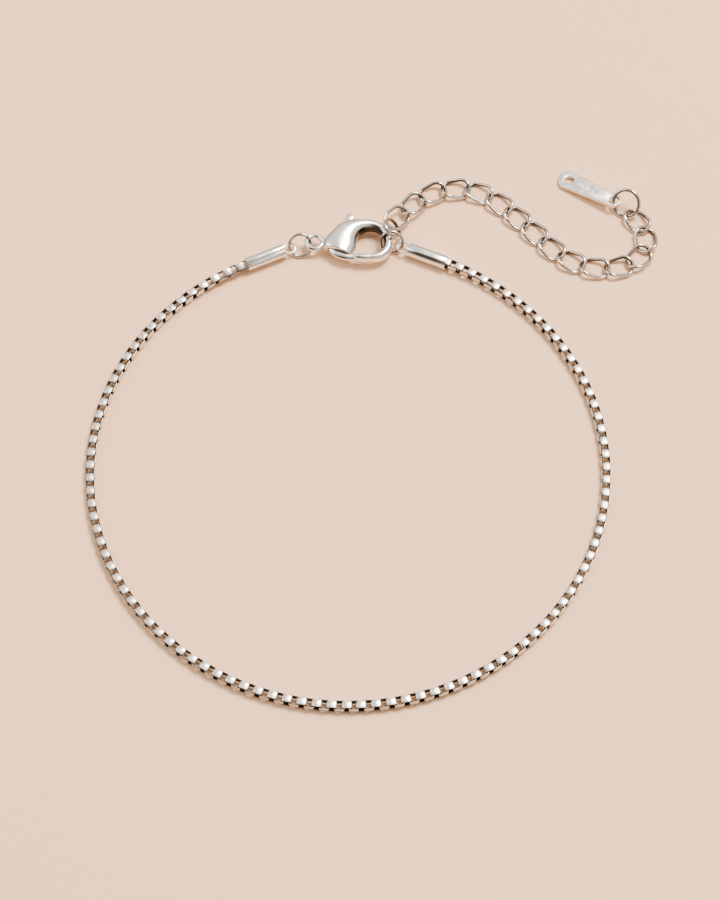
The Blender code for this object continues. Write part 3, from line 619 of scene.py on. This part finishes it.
def arm_clearance():
    """What the gate arm sweeps, with its clearance, open to the outer side."""
    inner, outer = arm_edges()
    swept = spun(inner, LEVER_SWING)
    ahead = (swept[-1] - swept[-2]) / np.linalg.norm(swept[-1] - swept[-2])
    swept = swept + np.array([-ahead[1], ahead[0]]) * SLOT_PLAY
    past_gate = swept[-1] + ahead * HOOK_RADIUS * 0.4
    below = [outer[-1] + (HOOK_RADIUS * 0.5, -HOOK_RADIUS), outer[1] + (-SLOT_PLAY, -HOOK_RADIUS)]
    behind = [p + (-SLOT_PLAY, -SLOT_PLAY / 2) for p in (outer[1], outer[0])]
    return [PIVOT, *swept, past_gate, *below, *behind]


def lever():
    """Hub, arm with the rounded gate at its end, and the trigger arm with its finger nub, made one."""
    half = LEVER_THICKNESS / 2
    hub = shape("clasp_lever_arm", on_clasp(prism(arc(PIVOT, LEVER_HUB, 56), -half, half)))
    # the arm and the gate in one: the line, half widths and half heights from the pivot to the tip
    flat = [(*row, half / CLASP_MID) for row in (*ARM_LINE[:-1], ARM_BLEND)]
    rows = np.concatenate([flat, GATE_SECTIONS[::-1]])
    rows[0, :2] = PIVOT / HOOK_RADIUS
    fine = through(rows, 8)
    line = fine[:, :2] * HOOK_RADIUS
    tip = (PIVOT - line[-1]) / np.linalg.norm(PIVOT - line[-1])
    line[-1] += tip * GATE_SEAM
    arm = sections_along(line, fine[:, 2] * HOOK_RADIUS, fine[:, 3] * CLASP_MID, power=2.4)
    arm = round_ends(arm, GATE_END_ROUND)
    along = np.array([math.cos(TRIGGER_ANGLE), math.sin(TRIGGER_ANGLE)])
    line = PIVOT + along * (TRIGGER_REACH * np.linspace(0.0, 1.0, 12)[:, None])
    trigger = sections_along(line, np.full(12, TRIGGER_WIDTH / 2), np.full(12, half), power=3.2)
    trigger = round_ends(trigger, NUB_ROUND, 7)
    bore = prism(arc(PIVOT, RIVET_SIZE / 2 + RIVET_PLAY, 40), -CLASP_THICKNESS, CLASP_THICKNESS)
    return carved(
        hub,
        ("UNION", shape("arm", on_clasp(skin(arm)))),
        ("UNION", shape("trigger", on_clasp(skin(trigger)))),
        ("DIFFERENCE", shape("bore", on_clasp(bore))),
    )


# end tag


def ball(centre, radius, rings=22, around=28, open_end=0.06):
    """A ball of level rings, closed by a small flat face within this angle of each pole."""
    v = np.linspace(open_end, math.pi - open_end, rings)[:, None]
    u = (TAU * np.arange(around) / around)[None]
    out = np.stack([np.sin(v) * np.cos(u), np.sin(v) * np.sin(u), np.cos(v) + 0 * u], -1)
    return skin(centre + radius * out)


def end_tag(eye):
    """A plate between two unlike round ends, with a hole in each and a row of plain punched dots."""
    wide, narrow = TAG_WIDTH / 2, TAG_EYE_WIDTH / 2
    reach = TAG_LENGTH - wide - narrow
    lean = math.asin((wide - narrow) / reach)
    plan = np.concatenate([
        arc((0, 0), narrow, 25, math.pi / 2 + lean, math.pi - 2 * lean),
        arc((reach, 0), wide, 33, -math.pi / 2 - lean, math.pi + 2 * lean),
    ])  # fmt: skip
    turn, half = axes(TAG_YAW, -TAG_LEAN), TAG_THICKNESS / 2
    origin = np.array([*eye, (TAG_LENGTH - narrow) * math.sin(TAG_LEAN) + half * math.cos(TAG_LEAN)])

    def placed(name, shell):
        return shape(name, (origin + shell[0] @ turn.T, shell[1]))

    tag = placed("end_tag_plate", prism(plan, -half, half))
    holes = ((0.0, TAG_EYE_HOLE), (TAG_LENGTH - narrow - TAG_HOLE_SETBACK, TAG_HOLE))
    carved(tag, *[("DIFFERENCE", placed("hole", prism(arc((x, 0), d / 2, 40), -1.0, 1.0))) for x, d in holes])
    soften(tag, TAG_SOFT_EDGE, 50, 3)
    # each dot is the cap of a ball that dips this deep into the face
    radius = (PUNCH_SIZE**2 / 4 + PUNCH_DEPTH**2) / (2 * PUNCH_DEPTH)
    middle = (holes[0][0] + holes[1][0]) / 2 + PUNCH_SHIFT
    steps = (np.arange(PUNCH_MARKS) - (PUNCH_MARKS - 1) / 2) * PUNCH_STEP
    dots = [placed("dot", ball((middle + step, 0.0, half + radius - PUNCH_DEPTH), radius)) for step in steps]
    return carved(tag, *[("DIFFERENCE", dot) for dot in dots])


# metals


def linear(code):
    """An sRGB hex colour as linear RGBA."""
    c = np.array([int(code[i : i + 2], 16) for i in (1, 3, 5)]) / 255
    return (*np.where(c <= 0.04045, c / 12.92, ((c + 0.055) / 1.055) ** 2.4).tolist(), 1.0)


def add_node(tree, kind, settings=None, **links):
    """Adds a node. Settings are its properties or its inputs' values; links feed its inputs."""
    node = tree.nodes.new(kind)
    for key, value in (settings or {}).items():
        if hasattr(node, key):
            setattr(node, key, value)
        else:
            node.inputs[key].default_value = value
    for key, socket in links.items():
        tree.links.new(socket, node.inputs[key.replace("_", " ")])
    return node


PAINTED_SHADE_COLOUR = "#312C28"  # painted shade: the dark colour laid where a piece is marked for it, in place of shadow and dark reflections


def silver(name, colour, roughness, grain_mm, relief):
    """Sterling silver, darkened by painted shade where a piece is marked for it.

    Its roughness wanders about its middle value over patches of grain_mm, and its face is as uneven as relief,
    in millimetres, so that reflections are never quite straight.
    """
    metal = bpy.data.materials.new(name)
    metal.use_nodes = True
    tree = metal.node_tree
    shader = tree.nodes["Principled BSDF"]
    shader.inputs["Metallic"].default_value = 1.0
    # the painted shade mark blends the metal's colour towards the painted shade colour
    depth = add_node(tree, "ShaderNodeAttribute", {"attribute_name": "paint_shade"})
    shade_ramp = add_node(tree, "ShaderNodeValToRGB", Fac=depth.outputs["Fac"])
    for element, code in zip(shade_ramp.color_ramp.elements, (colour, PAINTED_SHADE_COLOUR)):
        element.color = linear(code)
    tree.links.new(shade_ramp.outputs[0], shader.inputs["Base Color"])
    place = add_node(tree, "ShaderNodeTexCoord")
    patches = add_node(
        tree, "ShaderNodeTexNoise",
        {"Scale": 1 / (grain_mm * MM), "Detail": 3.0},
        Vector=place.outputs["Object"],
    )  # fmt: skip
    wander = add_node(
        tree, "ShaderNodeMapRange",
        {"From Min": 0.3, "From Max": 0.7, "To Min": roughness * 0.7, "To Max": roughness * 1.4},
        Value=patches.outputs[0],
    )  # fmt: skip
    tree.links.new(wander.outputs[0], shader.inputs["Roughness"])
    bump = add_node(
        tree, "ShaderNodeBump",
        {"Strength": 1.0, "Distance": relief * MM},
        Height=patches.outputs[0],
    )  # fmt: skip
    tree.links.new(bump.outputs[0], shader.inputs["Normal"])
    return metal


# cast sterling silver, tumbled and buffed to a mirror: soft waves in its reflections
POLISHED_CASTING = silver("buffed_cast_silver", "#EFEDEA", 0.21, 1.6, 0.004)
# flat strip bent into boxes and tumble polished: bright faces, a little hazier than the casting
BENT_STRIP = silver("tumbled_silver_strip", "#DCD6D0", 0.30, 0.5, 0.002)
# rolled sheet folded in a press: mirror bright with faint drawing lines
FOLDED_SHEET = silver("folded_silver_sheet", "#EEECE9", 0.17, 0.9, 0.002)
# drawn and cut wire: bright, with the draw die's fine haze
DRAWN_WIRE = silver("drawn_silver_wire", "#C9C2BB", 0.15, 0.6, 0.003)
# stamped sheet, left satin by the die
STAMPED_SHEET = silver("stamped_silver_sheet", "#E6E3DF", 0.30, 0.9, 0.0015)
# a turned steel pin, out of sight inside the clasp
RIVET_STEEL = silver("turned_steel_pin", "#C9C9C8", 0.25, 0.4, 0.002)


# the pieces, in place


def posed(pose):
    """The place, in millimetres, and the axes of a pose in the named lists."""
    return np.array(pose["at"]), axes(*(math.radians(pose[k]) for k in ("yaw", "pitch", "roll")))


dress(clasp_body(), POLISHED_CASTING, "clasp_body")
dress(lever(), POLISHED_CASTING, "clasp_lever", "lever")
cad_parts["lever_rivet"].material_slots[0].material = RIVET_STEEL

# the left ring lies in the clasp's eye, and the left cap's tongue lies on it
across = (JUMP_RING_SIZE - JUMP_WIRE) / 2
in_eye = EYE_HOLE / 2 - JUMP_WIRE / 2 - WIRE_PLAY
pull = np.array([math.cos(LEFT_RING_YAW), math.sin(LEFT_RING_YAW), 0.0])
at_eye = np.array([CLASP_AT[0] - EYE_SETBACK, CLASP_AT[1], CLASP_MID]) - pull * in_eye
at_tongue = at_eye - pull * math.sqrt((2 * across) ** 2 - (at_eye[2] - cap_height(LEFT_CAP_ROLL)) ** 2)
at_tongue[2] = cap_height(LEFT_CAP_ROLL)
left_turn = aimed(at_tongue, at_eye, JUMP_TILT)
left_ring = ring_of_wire((at_tongue + at_eye) / 2, left_turn, JUMP_RING_SIZE, JUMP_WIRE)
dress(wire_with_painted_shade("left_jump_ring", left_ring), DRAWN_WIRE, "jump_ring_left")
right_ring = ring_of_wire(*posed(RIGHT_RING), JUMP_RING_SIZE, JUMP_WIRE)
dress(wire_with_painted_shade("right_jump_ring", right_ring), DRAWN_WIRE, "jump_ring_right")

right_hole = np.array([*RIGHT_HOLE, cap_height(0.0)])
loop = loop_shape(at_tongue[:2], right_hole[:2])
_, half_arc, _, lean = loop
left_cap = end_cap("left_folded_cap", at_tongue, lean - half_arc + math.pi, LEFT_CAP_ROLL, seam_up=True)
right_cap = end_cap("right_folded_cap", right_hole, lean + half_arc, 0.0, seam_up=False)
dress(left_cap, FOLDED_SHEET, "end_cap_left")
dress(right_cap, FOLDED_SHEET, "end_cap_right")
for side, word in ((-1, "left"), (1, "right")):
    *links, shade = half_chain(side, loop)
    # painted shade on the links' edges, sides and inner faces, in place of the shadow in the notches between
    # them
    chain = paint_shade(shape(f"venetian_links_{word}", links), shade)
    dress(chain, BENT_STRIP, f"box_chain_{word}", sharp=50.0)


def next_on_route(route, start, index, distance):
    """The next point of the route this far from start in a straight line, and where on the route it is."""
    while index + 1 < len(route) - 1 and np.linalg.norm(route[index + 1] - start) < distance:
        index += 1
    a, b = route[index], route[index + 1]
    low, high = (0.0, 1.0) if np.linalg.norm(b - start) >= distance else (1.0, 20.0)
    for _ in range(40):
        t = (low + high) / 2
        if np.linalg.norm(a + (b - a) * t - start) < distance:
            low = t
        else:
            high = t
    return a + (b - a) * t, index


def extender():
    """The twisted links one after another along the route, then the ring and the tag at their end."""
    pitch = EXT_LINK_LENGTH - 2 * EXT_WIRE - EXT_PLAY
    radius, half = (EXT_LINK_WIDTH - EXT_WIRE) / 2, (EXT_LINK_LENGTH - EXT_WIRE) / 2
    a = math.pi * np.arange(64) / 64
    x = radius * np.cos(a) + np.copysign(half - radius, np.cos(a))
    # how far a twisted link reaches below its middle
    height = max(0.0, (radius * np.sin(a) * np.sin(EXT_LINK_TWIST * np.abs(x) / half)).max()) + EXT_WIRE / 2
    links = []
    for pose in FIRST_LINKS:
        at, turn = posed(pose)
        links.append(oval_link(at, turn, math.radians(pose["twist"])))
    start, index = at + turn[:, 0] * pitch / 2, 0
    route = through(start[:2] + EXTENDER_ROUTE * pitch, 24)
    for _ in range(len(FIRST_LINKS), EXT_LINKS):
        end, index = next_on_route(route, start[:2], index, math.sqrt(pitch**2 - (start[2] - height) ** 2))
        end = np.array([*end, height])
        links.append(oval_link((start + end) / 2, aimed(start, end), EXT_LINK_TWIST))
        start = end
    for number, link in enumerate(links, 1):
        wire = wire_with_painted_shade(f"curb_link_{number:02d}", link, LINK_SIDES)
        dress(wire, DRAWN_WIRE, f"extender_link_{number:02d}")
    offset, turn = posed(TAG_RING)
    ring = ring_of_wire(offset + (*start[:2], 0.0), turn, TAG_RING_SIZE, EXT_WIRE)
    dress(wire_with_painted_shade("tag_wire_ring", ring), DRAWN_WIRE, "tag_ring")
    dress(end_tag(start[:2] + TAG_EYE_AT), STAMPED_SHEET, "end_tag", sharp=30.0)


extender()


# floor, light and camera

FLOOR_SIZE = 4.0
mesh = bpy.data.meshes.new("floor")
corners = np.array([(-1, -1, 0), (1, -1, 0), (1, 1, 0), (-1, 1, 0)]) * FLOOR_SIZE / 2
mesh.from_pydata(corners.tolist(), [], [(0, 1, 2, 3)])
floor = bpy.data.objects.new("floor", mesh)
bpy.context.scene.collection.objects.link(floor)
glaze = bpy.data.materials.new("pale_matt_floor")
glaze.use_nodes = True
glaze.node_tree.nodes["Principled BSDF"].inputs["Base Color"].default_value = linear("#FACEA6")
glaze.node_tree.nodes["Principled BSDF"].inputs["Roughness"].default_value = 0.6
mesh.materials.append(glaze)


def softbox(name, azimuth, elevation, distance, size, watts, colour):
    """A square light that faces the bracelet from this side, degrees from +X towards +Y."""
    a, e = math.radians(azimuth), math.radians(elevation)
    lamp = bpy.data.lights.new(name, "AREA")
    lamp.shape, lamp.size, lamp.energy, lamp.color = "SQUARE", size, watts, linear(colour)[:3]
    obj = bpy.data.objects.new(name, lamp)
    level = distance * math.cos(e)
    obj.location = (level * math.cos(a), level * math.sin(a), distance * math.sin(e))
    obj.rotation_euler = (math.pi / 2 - e, 0.0, a + math.pi / 2)
    bpy.context.scene.collection.objects.link(obj)


softbox("window_right", 50.0, 62.0, 0.9, 0.30, 15.5, "#FFF1E2")
softbox("fill_left", 170.0, 45.0, 1.0, 0.6, 4.0, "#FFF6EE")

# the room: bright above and behind, darker round the camera, which polished metal mirrors as dark bands
CAMERA_SIDE = np.array([-0.38, -0.52, 0.72])
world = bpy.data.worlds.new("room")
bpy.context.scene.world = world
world.use_nodes = True
tree = world.node_tree
where = add_node(tree, "ShaderNodeTexCoord")
toward = add_node(tree, "ShaderNodeVectorMath", {"operation": "DOT_PRODUCT"})
tree.links.new(where.outputs["Generated"], toward.inputs[0])
toward.inputs[1].default_value = CAMERA_SIDE / np.linalg.norm(CAMERA_SIDE)
ramp = add_node(tree, "ShaderNodeValToRGB", Fac=toward.outputs["Value"])
elements = ramp.color_ramp.elements
stops = ((0.0, "#FFF6EC"), (0.70, "#FBF2E8"), (0.88, "#8A827B"), (0.97, "#1C1A18"))
while len(elements) < len(stops):
    elements.new(0.5)
for element, (at, code) in zip(elements, stops):
    element.position, element.color = at, linear(code)
# darker low down, where furniture stands
height = add_node(tree, "ShaderNodeSeparateXYZ")
tree.links.new(where.outputs["Generated"], height.inputs[0])
walls = add_node(
    tree, "ShaderNodeMapRange",
    {"From Min": 0.10, "From Max": 0.50, "To Min": 0.10, "To Max": 1.30},
    Value=height.outputs["Z"],
)  # fmt: skip
tree.links.new(walls.outputs[0], tree.nodes["Background"].inputs["Strength"])
tree.links.new(ramp.outputs[0], tree.nodes["Background"].inputs["Color"])

# the photograph's camera: above the near side, 62 degrees up, looking along +Y
VIEW_POINT = np.array([-1.983, -2.674, 0.0]) * MM
VIEW_ELEVATION = math.radians(62.37)
VIEW_DISTANCE = 0.25223
VIEW_LENS = 96.3
camera = bpy.data.objects.new("camera", bpy.data.cameras.new("camera"))
camera.data.lens, camera.data.sensor_width, camera.data.clip_start = VIEW_LENS, 36.0, 0.01
view_from = np.array([0.0, -math.cos(VIEW_ELEVATION), math.sin(VIEW_ELEVATION)])
camera.location = VIEW_POINT + VIEW_DISTANCE * view_from
camera.rotation_euler = (math.pi / 2 - VIEW_ELEVATION, 0.0, 0.0)
bpy.context.scene.collection.objects.link(camera)
bpy.context.scene.camera = camera

bpy.context.view_layer.update()
